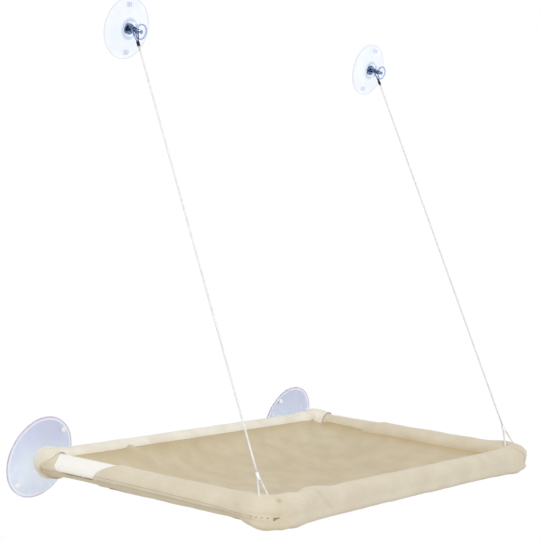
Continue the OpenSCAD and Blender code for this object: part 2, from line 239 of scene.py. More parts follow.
def noise_field(beside, scale, detail, stretch=(1, 1, 1)):
    """Noise over the piece's own axes, from 0 to 1."""
    field = add_node(beside, "ShaderNodeTexNoise", Scale=scale, Detail=detail)
    join(object_place(beside, stretch), field.inputs["Vector"])
    return field.outputs["Fac"]


def color_noise(shader, low, high, scale, detail=4.0, spread=(0.35, 0.65)):
    """Colour that drifts between two tones."""
    ramp = add_node(shader, "ShaderNodeValToRGB")
    for stop, at, color in zip(ramp.color_ramp.elements, spread, (low, high)):
        stop.position = at
        stop.color = srgb(*color)
    join(noise_field(shader, scale, detail), ramp.inputs["Fac"])
    join(ramp.outputs["Color"], shader.inputs["Base Color"])
    return ramp


def bump_node(height, strength, distance):
    bumps = add_node(height, "ShaderNodeBump", Strength=strength, Distance=distance)
    join(height, bumps.inputs["Height"])
    return bumps


def noise_bump(shader, scale, strength, distance, detail=2.0):
    bumps = bump_node(noise_field(shader, scale, detail), strength, distance)
    join(bumps.outputs["Normal"], shader.inputs["Normal"])


# Patches are scale, detail and spread; a bump is strength and depth, after a scale where it has
# noise of its own
# Painted shade: the colour that the cloth is mixed towards where a point's tone is low
PAINTED_SHADE_COLOR = (186, 164, 120)
CLOTH_SHADER = {
    "Roughness": 0.88, "Sheen Weight": 0.25, "Sheen Roughness": 0.5, "Specular IOR Level": 0.25,
}
CLOTH_PATCHES = (38.0, 5.0, (0.3, 0.7))
THREAD_WAVE = {"Scale": 150.0, "Distortion": 1.2, "Detail": 1.0, "Detail Scale": 3.0}
THREAD_BUMP = (0.35, 0.00012)
SLUBS = (160.0, 3.0, (1, 1, 3))
SLUB_BUMP = (0.18, 0.0006)
FUZZ_SHADER = {"Roughness": 0.95, "Sheen Weight": 0.5, "Specular IOR Level": 0.15}
FUZZ_PATCHES = (900.0, 3.0)
FUZZ_BUMP = (1400.0, 0.9, 0.0006, 4.0)
PLAIN_PATCHES = (200.0,)
PLAIN_BUMP = (600.0, 0.1, 0.0002)


def cloth_material(name, low, high):
    """Plain woven cloth: crossed sets of threads, slubs, a slow change of tone and painted shade.
    """
    material, shader = new_material(name, high, **CLOTH_SHADER)
    ramp = color_noise(shader, low, high, *CLOTH_PATCHES)
    # Painted shade from each point's tone, which the cloth pieces store
    tone = add_node(shader, "ShaderNodeAttribute", attribute_name="tone")
    shade = tint_node(tone.outputs["Fac"], PAINTED_SHADE_COLOR, ramp.outputs["Color"])
    join(shade, shader.inputs["Base Color"])
    height = None
    for axis in ("X", "Y", "Z"):
        wave = add_node(shader, "ShaderNodeTexWave", bands_direction=axis, **THREAD_WAVE)
        join(object_place(shader), wave.inputs["Vector"])
        threads_up = wave.outputs["Fac"]
        if height is None:
            height = threads_up
        else:
            height = math_node("MULTIPLY", height, threads_up)
    threads = bump_node(height, *THREAD_BUMP)
    rough = bump_node(noise_field(shader, *SLUBS), *SLUB_BUMP)
    join(threads.outputs["Normal"], rough.inputs["Normal"])
    join(rough.outputs["Normal"], shader.inputs["Normal"])
    return material


def fuzzy_material():
    """Off-white napped tape."""
    material, shader = new_material("fuzzy_tape", (238, 233, 222), **FUZZ_SHADER)
    color_noise(shader, (244, 240, 230), (255, 254, 250), *FUZZ_PATCHES)
    noise_bump(shader, *FUZZ_BUMP)
    return material


def plain_material(name, low, high, roughness, metallic=0.0):
    material, shader = new_material(name, high, Roughness=roughness, Metallic=metallic)
    color_noise(shader, low, high, *PLAIN_PATCHES)
    noise_bump(shader, *PLAIN_BUMP)
    return material


def drift_color(beside, scale, detail, spread, low, high):
    """A socket with a colour that drifts softly between two tones."""
    share = range_node(noise_field(beside, scale, detail), *spread)
    return tint_node(share, low, high)


def axis_radius(beside, height):
    """Distance from a cup's axis, the distance out from the glass, and both parts of the first."""
    place = add_node(beside, "ShaderNodeTexCoord")
    parts = add_node(beside, "ShaderNodeSeparateXYZ")
    join(place.outputs["Object"], parts.inputs[0])
    across = math_node("ABSOLUTE", parts.outputs["X"])
    across = math_node("SUBTRACT", across, CUP_SPACING / 2)
    rise = math_node("SUBTRACT", parts.outputs["Z"], height)
    squares = [math_node("MULTIPLY", part, part) for part in (across, rise)]
    out = math_node("MULTIPLY", parts.outputs["Y"], -1.0)
    radius = math_node("SQRT", math_node("ADD", *squares))
    return radius, out, across, rise


def nub_share(across, rise, far, turn):
    """1 on the two square nubs of a cup, at a distance and an angle from its axis."""
    c = -cos(turn)
    s = sin(turn)
    pairs = []
    for first, second, operation in ((c, s, "ADD"), (s, c, "SUBTRACT")):
        first_part = math_node("MULTIPLY", across, first)
        second_part = math_node("MULTIPLY", rise, second)
        pairs.append(math_node(operation, first_part, second_part))
    along, beside = pairs
    along = math_node("SUBTRACT", math_node("ABSOLUTE", along), far)
    reaches = [math_node("ABSOLUTE", value) for value in (along, beside)]
    return math_node("MULTIPLY", *(range_node(reach, *NUB_EDGE) for reach in reaches))


def tinted(shader, color, tints):
    """The shader's colour: a socket with tones laid over it, each by its share."""
    for share, tint in tints:
        color = tint_node(share, color, tint)
    join(color, shader.inputs["Base Color"])


FROSTED_CLEAR = 0.72
FROSTED_SHADER = {"Roughness": 0.36, "Transmission Weight": FROSTED_CLEAR, "IOR": 1.30}
FROSTED_BUMP = (60.0, 0.1, 0.0008)
FROSTED_PATCHES = (85.0, 5.0, (0.36, 0.66))
# Painted light: a paler glow in the cup's middle, within the first radius and gone by the second.
# Painted shade: darker towards the top, between the heights, by its share
GLOW_RADII = (0.016, 0.047)
SHADE_HEIGHTS = (-0.012, 0.046)
SHADE_SHARE = 0.75
LOWER_NUB = (0.0439, radians(48))
LOWER_RING = (0.0478, 0.0486)
LOWER_EDGE = (0.0502, 0.0508)
CLEAR_SHADER = {"Roughness": 0.05, "Transmission Weight": 1.0, "IOR": 1.10}
CLEAR_BUMP = (60.0, 0.05, 0.0008)
CLEAR_PATCHES = (50.0, 3.0, (0.35, 0.65))
UPPER_NUB = (0.0279, radians(100))
UPPER_OUTLINE = (0.0350, 0.0356)
BOSS_RADII = (0.0088, 0.0091)
BOSS_FROM = (0.0052, 0.0056)
CLEAR_FROM = (0.0066, 0.0074)
CLEAR_TO = (0.0092, 0.0098)
DISC_SHADER = {"Roughness": 0.04, "Transmission Weight": 1.0, "IOR": 1.18}
DISC_BUMP = (60.0, 0.02, 0.0008)
DISC_PATCHES = (300.0, 2.0, (0.35, 0.65))
DISC_RING = (0.0076, 0.0082)
NUB_EDGE = (0.0031, 0.0027)


def frosted_cup():
    """Cloudy vinyl: a painted glow of light in the middle, painted shade towards the top, deeper at
    the edge, with a pale ring and pale nubs.
    """
    material, shader = new_material("frosted_vinyl", (222, 230, 248), **FROSTED_SHADER)
    noise_bump(shader, *FROSTED_BUMP)
    radius, out, across, rise = axis_radius(shader, 0.0)
    color = drift_color(shader, *FROSTED_PATCHES, (226, 234, 249), (239, 245, 255))
    # Painted light in the middle and painted shade towards the top
    color = tint_node(range_node(radius, *GLOW_RADII), (240, 247, 255), color)
    upper = math_node("MULTIPLY", range_node(rise, *SHADE_HEIGHTS), SHADE_SHARE)
    nub = nub_share(across, rise, *LOWER_NUB)
    tinted(shader, color, (
        (upper, (206, 211, 236)),
        (range_node(radius, *LOWER_RING), (252, 253, 255)),
        (range_node(radius, *LOWER_EDGE), (214, 210, 236)),
        (nub, (255, 255, 255)),
    ))
    solid = math_node("MULTIPLY", nub, FROSTED_CLEAR)
    clear = math_node("SUBTRACT", FROSTED_CLEAR, solid)
    join(clear, shader.inputs["Transmission Weight"])
    return material


def upper_cup():
    """Clear vinyl, with a faint edge, blue nubs and a slate-blue foot round the boss."""
    material, shader = new_material("clear_vinyl", (244, 249, 254), **CLEAR_SHADER)
    noise_bump(shader, *CLEAR_BUMP)
    radius, out, across, rise = axis_radius(shader, UPPER_H)
    on_boss = range_node(radius, *BOSS_RADII)
    wall = math_node("MULTIPLY", on_boss, range_node(out, *BOSS_FROM))
    below = math_node("SUBTRACT", 1.0, range_node(out, *CLEAR_TO))
    band = math_node("MULTIPLY", range_node(out, *CLEAR_FROM), below)
    foot = math_node("MULTIPLY", wall, math_node("SUBTRACT", 1.0, band))
    color = drift_color(shader, *CLEAR_PATCHES, (240, 247, 254), (251, 253, 255))
    tinted(shader, color, (
        (range_node(radius, *UPPER_OUTLINE), (222, 226, 240)),
        (nub_share(across, rise, *UPPER_NUB), (206, 213, 242)),
        (foot, (168, 184, 218)),
    ))
    return material


def disc_plastic():
    """Clear hard plastic with a slate-blue rim."""
    material, shader = new_material("clear_plastic", (244, 248, 253), **DISC_SHADER)
    noise_bump(shader, *DISC_BUMP)
    radius = axis_radius(shader, UPPER_H)[0]
    color = drift_color(shader, *DISC_PATCHES, (241, 246, 253), (250, 252, 255))
    ring = range_node(radius, *DISC_RING)
    tinted(shader, color, ((ring, (150, 164, 212)),))
    return material


CLOTH = cloth_material("beige_cloth", (211, 200, 177), (220, 210, 188))
# CLOTH_REAR is the cloth painted lighter, as painted light on the rear cover, and CLOTH_SLING the
# cloth painted darker, as painted shade on the sling
CLOTH_REAR = cloth_material("cloth_painted_light", (224, 217, 199), (239, 234, 221))
CLOTH_SLING = cloth_material("beige_sling", (197, 183, 153), (210, 198, 170))
FUZZY = fuzzy_material()
# The seam thread is painted darker than the cloth: its own colour darkened by painted shade at the
# stitches; the fray's loose threads share it
THREAD = plain_material("seam_thread", (150, 130, 92), (188, 168, 128), 0.8)
DARK_THREAD = plain_material("brown_thread", (138, 114, 74), (166, 142, 100), 0.8)
CABLE_WHITE = plain_material("cable_coat", (219, 218, 217), (235, 234, 233), 0.35)
SLOT_MATERIALS = {
    "clear_upper_cup": upper_cup(),
    "frosted_lower_cup": frosted_cup(),
    "clear_disc": disc_plastic(),
    "dark_metal": plain_material("blackened_steel", (62, 76, 102), (110, 128, 158), 0.28, 0.9),
    "dark_crimp": plain_material("black_crimp", (16, 14, 26), (34, 30, 46), 0.4, 0.7),
    "white_cable": CABLE_WHITE,
    "white_crimp": plain_material("white_crimp", (232, 232, 232), (250, 250, 250), 0.35),
    "white_clip": plain_material("clip_plastic", (228, 230, 232), (242, 243, 244), 0.45),
    "brass_insert": plain_material("brass", (188, 152, 84), (214, 180, 112), 0.3, 1.0),
    "white_tube": plain_material("pipe_plastic", (226, 226, 222), (238, 238, 234), 0.4),
    "tube_elbow": plain_material("elbow_plastic", (214, 214, 210), (228, 228, 224), 0.42),
}


slot_of = {part["node"]: part["material_slot"] for part in frame["record"]["subparts"]}
for node_name, solid in frame["nodes"].items():
    if slot_of[node_name] in SLOT_MATERIALS:
        for place in solid.material_slots:
            place.material = SLOT_MATERIALS[slot_of[node_name]]

# Building blocks


def mesh_piece(name, points, faces, material):
    mesh = bpy.data.meshes.new(name)
    mesh.from_pydata([tuple(p) for p in points], [], faces)
    mesh.validate()
    mesh.update()
    for face in mesh.polygons:
        face.use_smooth = True
    mesh.materials.append(material)
    piece = bpy.data.objects.new(name, mesh)
    scene.collection.objects.link(piece)
    return piece


def grid_faces(rows, cols, ring, skip=None):
    """Faces of a grid of points in rows; ring joins each row's end to its start."""
    faces = []
    for j in range(rows - 1):
        for i in range(cols if ring else cols - 1):
            if skip and skip(j, i):
                continue
            k = (i + 1) % cols
            faces.append((j * cols + i, j * cols + k, (j + 1) * cols + k, (j + 1) * cols + i))
    return faces


def thicken(piece, thickness, offset=-1.0):
    solid = piece.modifiers.new("thickness", "SOLIDIFY")
    solid.thickness = thickness
    solid.offset = offset
    solid.use_even_offset = False


def cloth_piece(name, rows, ring, material, thickness, offset=-1.0, skip=None):
    """Cloth from rows of points, each with its painted shade: how light it is, from 0 in deep folds
    to 1.
    """
    faces = grid_faces(len(rows), len(rows[0]), ring, skip)
    piece = mesh_piece(name, [place for row in rows for place, tone in row], faces, material)
    field = piece.data.attributes.new("tone", "FLOAT", "POINT")
    field.data.foreach_set("value", [tone for row in rows for place, tone in row])
    thicken(piece, thickness, offset)
    return piece


WIRE_SIDES = 12


def ring_of(middle, across, other, radius, sides, size=1.0):
    """Points on a circle round a middle."""
    turns = [2 * pi * n / sides for n in range(sides)]
    return [middle + (across * cos(turn) + other * sin(turn)) * radius * size for turn in turns]


def closed_tube(rings):
    """Points and faces of a tube from its rings of points, closed at both ends."""
    count = len(rings[0])
    faces = grid_faces(len(rings), count, True)
    faces.append(tuple(reversed(range(count))))
    faces.append(tuple(range((len(rings) - 1) * count, len(rings) * count)))
    return [point for ring in rings for point in ring], faces


def tube_piece(name, route, radius, material):
    """A closed tube of mesh along a route of points."""
    rings = []
    across = None
    for k, point in enumerate(route):
        along = unit(route[min(k + 1, len(route) - 1)] - route[max(k - 1, 0)])
        if across is None:
            across = unit(along.orthogonal())
        across = unit(across - along * across.dot(along))
        rings.append(ring_of(point, across, along.cross(across), radius, WIRE_SIDES))
    points, faces = closed_tube(rings)
    return mesh_piece(name, points, faces, material)


def side_name(side):
    return "left" if side == LEFT else "right"


# Cables: from the upper crimped sleeve to the lower one, and the loop round the elbow


def cable_line(side):
    """The middle of the lower loop, the cable's direction, and its length to the stud's axis."""
    low = bed(
        side * (HALF_W - BEND_R * (1 - cos(LOOP_BEND_ANGLE))),
        -BED_D + BEND_R * (1 - sin(LOOP_BEND_ANGLE)),
        0,
    )
    high = Vector((side * CUP_SPACING / 2, -EYE_OUT, UPPER_H))
    return low, unit(high - low), (high - low).length


def loop_frame(side):
    """The loop's direction across, square to the elbow's bend and to the cable."""
    low, along, span = cable_line(side)
    c = cos(LOOP_BEND_ANGLE)
    s = sin(LOOP_BEND_ANGLE)
    bend_along = bed(side * s, c, 0) - bed(0, 0, 0)
    return low, along, unit(bend_along.cross(along))


CABLE_POINTS = 40
LOOP_STEPS = 40
LOOP_R = 0.0144
LOOP_TURN = radians(25)
LEG_SHARE = 1.15


def make_cable(side):
    low, along, span = cable_line(side)
    top = low + along * (span - EYE_REACH - UPPER_FERRULE_LEN)
    bottom = low + along * (LOOP_REACH + LOWER_FERRULE_LEN)
    route = [top.lerp(bottom, k / (CABLE_POINTS - 1)) for k in range(CABLE_POINTS)]
    name = side_name(side)
    cable = tube_piece("cable_coat_" + name, route, CABLE_D / 2, CABLE_WHITE)
    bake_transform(cable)
    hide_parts("cable_" + name)
    loop = make_loop(side)


def make_loop(side):
    """The cable's loop round the elbow, from the crimped sleeve down and back."""
    low, along, across = loop_frame(side)
    across = unit(Matrix.Rotation(side * LOOP_TURN, 3, along) @ across)
    wire_r = CABLE_D / 2
    leg = wire_r * LEG_SHARE
    reach = LOOP_REACH + LOWER_FERRULE_LEN / 2
    touch = pi / 2 - atan2(leg, reach) - acos(LOOP_R / hypot(leg, reach))
    route = [low - across * leg + along * reach]
    for k in range(LOOP_STEPS + 1):
        turn = pi - touch + (pi + 2 * touch) * k / LOOP_STEPS
        route.append(low + across * LOOP_R * cos(turn) + along * LOOP_R * sin(turn))
    route.append(low + across * leg + along * reach)
    name = side_name(side)
    loop = tube_piece("loop_wire_" + name, route, wire_r, CABLE_WHITE)
    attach(loop, "bed")
    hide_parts("cable_loop_" + name)
    return loop


for each_side in (LEFT, RIGHT):
    make_cable(each_side)

# Cover: one sewn rim along the sides and the front, with its section changing along the way

EDGE_HALF = HALF_W - BEND_R
ARC_LEN = BEND_R * pi / 2
SIDE_END = 0.012
SIDE_LEN = BED_D - BEND_R - SIDE_END
CORNER_END = EDGE_HALF + ARC_LEN
RIM_HALF = CORNER_END + SIDE_LEN


def past_corner(far):
    """Distance along the side from the end of the front corner's bend."""
    return far - CORNER_END


def far_at(from_rear):
    """Distance along the rim from the front's middle, from the distance to the rear corner."""
    return CORNER_END + BED_D - BEND_R - from_rear


def rear_place(s):
    """Place and outward direction on the rear sleeve, s metres from its middle."""
    side = 1 if s >= 0 else -1
    far = abs(s)
    if far <= EDGE_HALF:
        return side * far, 0.0, 0.0, 1.0
    if far <= CORNER_END:
        turn = (far - EDGE_HALF) / BEND_R
        return (
            side * (EDGE_HALF + BEND_R * sin(turn)),
            -BEND_R * (1 - cos(turn)),
            side * sin(turn),
            cos(turn),
        )
    return side * HALF_W, -BEND_R - past_corner(far), side, 0.0


def rim_place(s):
    """Place and outward direction on the rim, s metres from the middle of the front."""
    x, y, nx, ny = rear_place(s)
    return x, -BED_D - y, nx, -ny


SECTION_COLS = 72
FOLD_HALF_W = 0.0055
SHOULDER_POWER = 2.3
WALL_HOLLOW = 0.0002
TRACE_STEPS = 48
TINY = 1e-9


def outside_of(point, clear):
    """The point, moved out to a radius round the tube where it lies low and within it."""
    out, up = point
    reach = hypot(out, up)
    if up >= 0 or reach >= clear:
        return point
    return out * clear / reach, up * clear / reach


def trace_section(half, top, drop, fold, clear):
    """Closed line of (outward, up) points: over the top from the outer side, down the inner
    wall, round the bottom fold and up the outer wall, which is flat and hangs straight."""
    high = top - half
    low = -drop + fold
    line = []
    shares = [k / TRACE_STEPS for k in range(TRACE_STEPS)]
    for share in shares:
        c = cos(pi * share)
        power = 2 / SHOULDER_POWER if c > 0 else 1.0
        rise = half * sin(pi * share) ** power
        line.append((half * copysign(abs(c) ** power, c), high + rise))
    for share in shares:
        line.append((mix(-half, half - 2 * fold, smooth(share)), mix(high, low, share)))
    for share in shares:
        turn = pi + pi * share
        line.append((half - fold + fold * cos(turn), low + fold * sin(turn)))
    for share in shares + [1.0]:
        hollow = WALL_HOLLOW * sin(pi * share) * smooth((high - low) / half)
        line.append((half - hollow, mix(low, high, share)))
    return [outside_of(point, clear) for point in line]


def section(half, top, drop, fold, clear):
    """The traced line as evenly spaced points, each with its outward normal."""
    line = trace_section(half, top, drop, fold, clear)
    lengths = [0.0]
    for a, b in zip(line, line[1:]):
        lengths.append(lengths[-1] + hypot(b[0] - a[0], b[1] - a[1]))
    ring = []
    k = 0
    for col in range(SECTION_COLS):
        want = lengths[-1] * col / SECTION_COLS
        while lengths[k + 1] < want:
            k += 1
        share = (want - lengths[k]) / max(lengths[k + 1] - lengths[k], TINY)
        ring.append([mix(a, b, share) for a, b in zip(line[k], line[k + 1])])
    points = []
    for col in range(SECTION_COLS):
        before = ring[col - 1]
        after = ring[(col + 1) % SECTION_COLS]
        across, rise = (a - b for a, b in zip(after, before))
        size = max(hypot(across, rise), TINY)
        points.append((*ring[col], rise / size, -across / size))
    return points


RIM_ROLL_R = 0.0122
SIDE_SAG = 0.0018
FLAP_LIFT = 0.0011
FLAP_END_LIFT = 0.0013
FLAP_LOW_REAR = -0.0034
FLAP_LOW_FRONT = -0.0070
FLAP_FLAT_SHARE = 0.8
FLAP_END = 0.094
FLAP_ROUND = 0.030
FLAP_CURVE_SHARE = 0.35
STEP_W = 0.0012
EDGE_W = 0.0009
TUBE_CLEAR = 0.0009
LOOP_CLEAR = 0.0001


def flap_end_at(up):
    """Distance from the rear corner at which the side flap ends, at a height on the roll."""
    rise = clamp((up - FLAP_LOW_REAR) / (RIM_ROLL_R - FLAP_LOW_REAR))
    curve = FLAP_CURVE_SHARE * sqrt(rise) + (1 - FLAP_CURVE_SHARE) * rise ** 3
    return FLAP_END + FLAP_ROUND * curve


def flap_low_at(from_rear):
    """Height of the side flap's lower edge on the roll."""
    return mix(FLAP_LOW_REAR, FLAP_LOW_FRONT, clamp((from_rear - FLAP_END) / (BED_D - FLAP_END)))


def wrinkle(x, y, z, scale, seed):
    return noise.noise(Vector((x * scale + seed, y * scale, z * scale)))


def ripple(kind, x, y=0.0, z=0.0, seed=0.0):
    """Noise of one kind, which is its depth, scale and seed."""
    depth, scale, first_seed = kind
    return depth * wrinkle(x, y, z, scale, first_seed + seed)


# Spans, here and below, are where a soft rise or fall starts, and its width; hills are their
# middle and half width; marks are the depth pressed into the cloth and the shade painted into
# it; a noise is its scale and seed, after its depth where it has one
CORNER_SIDE_SPAN = (0.006, 0.036)
CORNER_FRONT_SPAN = (0.010, 0.035)


def corner_share(far):
    """1 at a front corner, falling to 0 along the side and along the front."""
    along_side = past_corner(far)
    if along_side > 0:
        return fall_from(along_side, *CORNER_SIDE_SPAN)
    return fall_from(EDGE_HALF - far, *CORNER_FRONT_SPAN)


def rim_half(far):
    return mix(RIM_ROLL_R, CORNER_HALF_W - FLAP_LIFT, corner_share(far))


# Side flap: a hem that hangs from the roll, ends near the rear cap and swells into it
OUTER_FADE = 0.004
SIDE_SPAN = (-0.004, 0.006)
FLAP_END_W = 0.040
# Painted shade: on the hem below the flap, in a line along the flap's lower edge, and in the folds
# of the rear cap's mouth
HEM_SHADE = 0.24
HEM_LINE_SHADE = 0.32
HEM_LINE_W = 0.0013
HEM_WAVE = (0.0011, 34.0, 5.0)
HEM_WAVE_SPAN = (0.09, 0.06)
NEAR_CAP_SPAN = (0.024, 0.016)
CAP_LOW_ANGLE = -50
CAP_LOW_SPAN = (20, 80)
CAP_FILL = 0.0040
CAP_FILL_SHARE = 0.35
CAP_SHADE = 0.26
CAP_SHADE_LEVEL = 1.4
FOLD_MEAN = 0.74
FOLD_SWING = 0.26
FOLD_ALONG = 900
FOLD_UP = 500


def side_flap(s, out, up, outside):
    """Push, stand-off and painted shade (tone) of the side's flap at a point of the section."""
    far = abs(s)
    side = 1 if s >= 0 else -1
    from_rear = -rim_place(s)[1]
    on_side = rise_from(past_corner(far), *SIDE_SPAN)
    low_at = flap_low_at(from_rear)
    on_flap = smooth((up - low_at) / EDGE_W + 0.5)
    above = mix(1.0, on_flap, outside)
    past = smooth((from_rear - flap_end_at(up)) / STEP_W + 0.5)
    end_lift = FLAP_END_LIFT * bump(from_rear, flap_end_at(up), FLAP_END_W)
    push = (FLAP_LIFT + end_lift) * mix(1.0, above * past, on_side)
    stand_off = 0.0
    if up < 0 and out > 0:
        stand_off = (rim_half(far) - out) * FLAP_FLAT_SHARE * above * past * on_side
    hem = outside * (1 - on_flap) * on_side
    # Painted shade on the hem and along the flap's lower edge
    tone = 1.0 - HEM_SHADE * hem
    tone -= HEM_LINE_SHADE * bump(up, low_at - EDGE_W, HEM_LINE_W) * outside * on_side
    push += ripple(HEM_WAVE, from_rear, seed=side) * hem * fall_from(from_rear, *HEM_WAVE_SPAN)
    near_cap = fall_from(from_rear, *NEAR_CAP_SPAN)
    low_side = 0.0
    if out > -OUTER_FADE:
        off_angle = abs(degrees(atan2(up, out)) - CAP_LOW_ANGLE)
        low_side = fall_from(off_angle, *CAP_LOW_SPAN)
    fold = FOLD_MEAN + FOLD_SWING * sin(from_rear * FOLD_ALONG + up * FOLD_UP)
    fill = CAP_FILL_SHARE + (1 - CAP_FILL_SHARE) * low_side * fold
    push += CAP_FILL * near_cap * fill
    # Painted shade in the folds at the rear cap's mouth
    tone -= CAP_SHADE * near_cap * low_side * (CAP_SHADE_LEVEL - fold)
    return push, stand_off, tone


COARSE = (0.0006, 26.0, 3.0)
FINE_DEPTH = 0.00025
FINE_CORNER_DEPTH = 0.0006
FINE_NOISE = (75.0, 9.0)
CALM_SHARE = 0.35
CALM_SPAN = (-0.120, 0.02)


def rim_wrinkles(s, out, up):
    """Soft wrinkles over the rim, deeper at the front corners and calm near the tape."""
    far = abs(s)
    side = 1 if s >= 0 else -1
    x0, y0, nx, ny = rim_place(s)
    coarse = ripple(COARSE, x0, y0, out + up * 2, side)
    fine = wrinkle(s, out * 3, up * 3, *FINE_NOISE)
    near_tape = rise_from(y0, *CALM_SPAN) if past_corner(far) > 0 else 0.0
    depth = FINE_DEPTH + FINE_CORNER_DEPTH * corner_share(far)
    return (coarse + depth * fine) * mix(1.0, CALM_SHARE, near_tape)


GATHER_AT = -(EDGE_HALF - 0.050)
GATHER_H = 0.0044
GATHER_STEEP_W = 0.016
GATHER_SLOW_W = 0.050
GATHER_SLOPE = 1.6
CREASE_FROM = GATHER_AT + 0.016
CREASE_SLANT = 1.6
CREASE_HALF_W = 0.0045
CREASE_MARK = (0.0010, 0.18)
CREASE_SPAN = (-0.013, 0.01)


def gather(s, up, normal_out, normal_up):
    """Rise and marks of the cloth bunched beside the left front corner."""
    gather_w = GATHER_STEEP_W if s < GATHER_AT else GATHER_SLOW_W
    rise = GATHER_H * bump(s, GATHER_AT, gather_w) * smooth(normal_up * GATHER_SLOPE)
    crease = bump(s + up * CREASE_SLANT, CREASE_FROM, CREASE_HALF_W)
    crease *= smooth(0.5 + normal_out) * rise_from(up, *CREASE_SPAN)
    return rise, [(CREASE_MARK, crease)]


TUCK_AT = EDGE_HALF - 0.001
TUCK_BOW = 0.019
TUCK_LOW_BOW = 0.008
TUCK_UP = 0.001
TUCK_W = 0.0010
TUCK_MARK = (0.0010, 0.06)
TUCK_SPAN = (0.03, 0.02)
GROOVE_HILL = (0.0006, 0.0024)
GROOVE_SPAN = (-0.0135, 0.006)
GROOVE_MARK = (0.0030, 1.30)


def corner_step(far, up, outside):
    """Marks, dents with painted shade, of the right corner's cloth, behind its curved edge and in
    the edge's groove.
    """
    bow = TUCK_BOW if up > TUCK_UP else TUCK_LOW_BOW
    past = far - TUCK_AT + bow * ((up - TUCK_UP) / CORNER_TOP) ** 2
    behind = smooth(past / TUCK_W + 0.5) * outside
    behind *= 1 - rise_from(past, *TUCK_SPAN)
    groove = bump(past, *GROOVE_HILL) * outside
    groove *= rise_from(up, *GROOVE_SPAN)
    return [(TUCK_MARK, behind), (GROOVE_MARK, groove)]


SEAM_AT = EDGE_HALF + ARC_LEN * 0.35
SEAM_HALF_W = 0.0020
SEAM_MARK = (0.0005, 0.08)
DIMPLE_UP = 0.0118
DIMPLE_SIZE = (0.0018, 0.0017)
DIMPLE_MARK = (0.0014, 0.75)
TACK_LOW = 0.007
TACK_LOW_LEN = 0.03
PULL_SIZE = (0.011, 0.009)
PULL_MARK = (0.0016, 0.15)
RAY_COUNT = 6
RAY_SIZE = (0.026, 0.018)
RAY_DEPTH = 0.0006
RAY_NUDGE = 0.0001


def spot(across, up, width, height):
    """A round hill of height 1 that falls off over a width and a height."""
    return exp(-(across / width) ** 2 - (up / height) ** 2)


def corner_seam(far, up, outside):
    """Push of the rays round the corner's tack, and marks, dents with painted shade, of its seam,
    dimple and tack.
    """
    across = far - SEAM_AT
    tack_up = up - flap_low_at(BED_D) + TACK_LOW * clamp(across / TACK_LOW_LEN)
    ray = sin(atan2(tack_up, across + RAY_NUDGE) * RAY_COUNT)
    push = RAY_DEPTH * ray * spot(across, tack_up, *RAY_SIZE) * outside
    return push, [
        (SEAM_MARK, bump(far, SEAM_AT, SEAM_HALF_W) * outside),
        (DIMPLE_MARK, spot(across, up - DIMPLE_UP, *DIMPLE_SIZE) * outside),
        (PULL_MARK, spot(across, tack_up, *PULL_SIZE) * outside),
    ]


# Painted shade on the lower part of the front band's outer face
BAND_FADE = 0.01
BAND_SHADE = 0.30
BAND_LOW = 0.010


def rim_point(s, ring_point):
    """A point of the rim's cloth with its flaps, folds and wrinkles, and its painted shade: how
    light it is.
    """
    far = abs(s)
    out, up, normal_out, normal_up = ring_point
    x0, y0, nx, ny = rim_place(s)
    outside = smooth(out / OUTER_FADE + 0.5)
    push = FLAP_LIFT
    stand_off = 0.0
    tone = 1.0
    if past_corner(far) > SIDE_SPAN[0]:
        push, stand_off, tone = side_flap(s, out, up, outside)
    push += rim_wrinkles(s, out, up)
    # Painted shade low on the front band
    band = smooth(-past_corner(far) / BAND_FADE) * outside
    tone -= BAND_SHADE * band * smooth((-BAND_LOW - up) / BAND_LOW)
    if s < 0:
        rise, marks = gather(s, up, normal_out, normal_up)
    else:
        rise = 0.0
        marks = corner_step(far, up, outside)
    ray_push, seam_marks = corner_seam(far, up, outside)
    push += ray_push
    # Each mark dents the cloth and paints shade into the dent
    for (depth, shade), share in marks + seam_marks:
        push -= depth * share
        tone -= shade * share
    place = bed(
        x0 + nx * (out + normal_out * push + stand_off),
        y0 + ny * (out + normal_out * push + stand_off),
        up + normal_up * push + rise,
    )
    return place, clamp(tone)


HANG_SPAN = (-0.004, 0.034)
DIP = 0.0014
DIP_HILL = (EDGE_HALF + ARC_LEN * 0.5, 0.045)
SAG_SPAN = (0.10, 0.06)
FRONT_RISE = 0.0012
FRONT_RISE_SPAN = (0.03, 0.1)
RIGHT_LIFT = 0.0032
RIGHT_LIFT_HILL = (EDGE_HALF + ARC_LEN * 0.6, 0.020)


def rim_section(s):
    """The rim's section at s, from a plain roll on the sides to a hanging band in front."""
    far = abs(s)
    along_side = past_corner(far)
    inward = EDGE_HALF - far
    corner = corner_share(far)
    hang = 1.0
    if along_side > 0:
        hang = fall_from(along_side, *HANG_SPAN)
    half = rim_half(far)
    top = mix(RIM_ROLL_R, CORNER_TOP - FLAP_LIFT, corner)
    dip = DIP * bump(far, *DIP_HILL)
    from_rear = SIDE_LEN + SIDE_END - along_side
    side_drop = RIM_ROLL_R + SIDE_SAG * rise_from(from_rear, *SAG_SPAN)
    drop = mix(side_drop, FRONT_DROP - FLAP_LIFT + dip, hang)
    if inward > 0:
        drop -= FRONT_RISE * rise_from(inward, *FRONT_RISE_SPAN)
    if s > 0:
        drop -= RIGHT_LIFT * bump(far, *RIGHT_LIFT_HILL)
    fold = mix(half, FOLD_HALF_W, hang)
    return section(half, top, drop, fold, half - mix(TUBE_CLEAR, LOOP_CLEAR, corner))


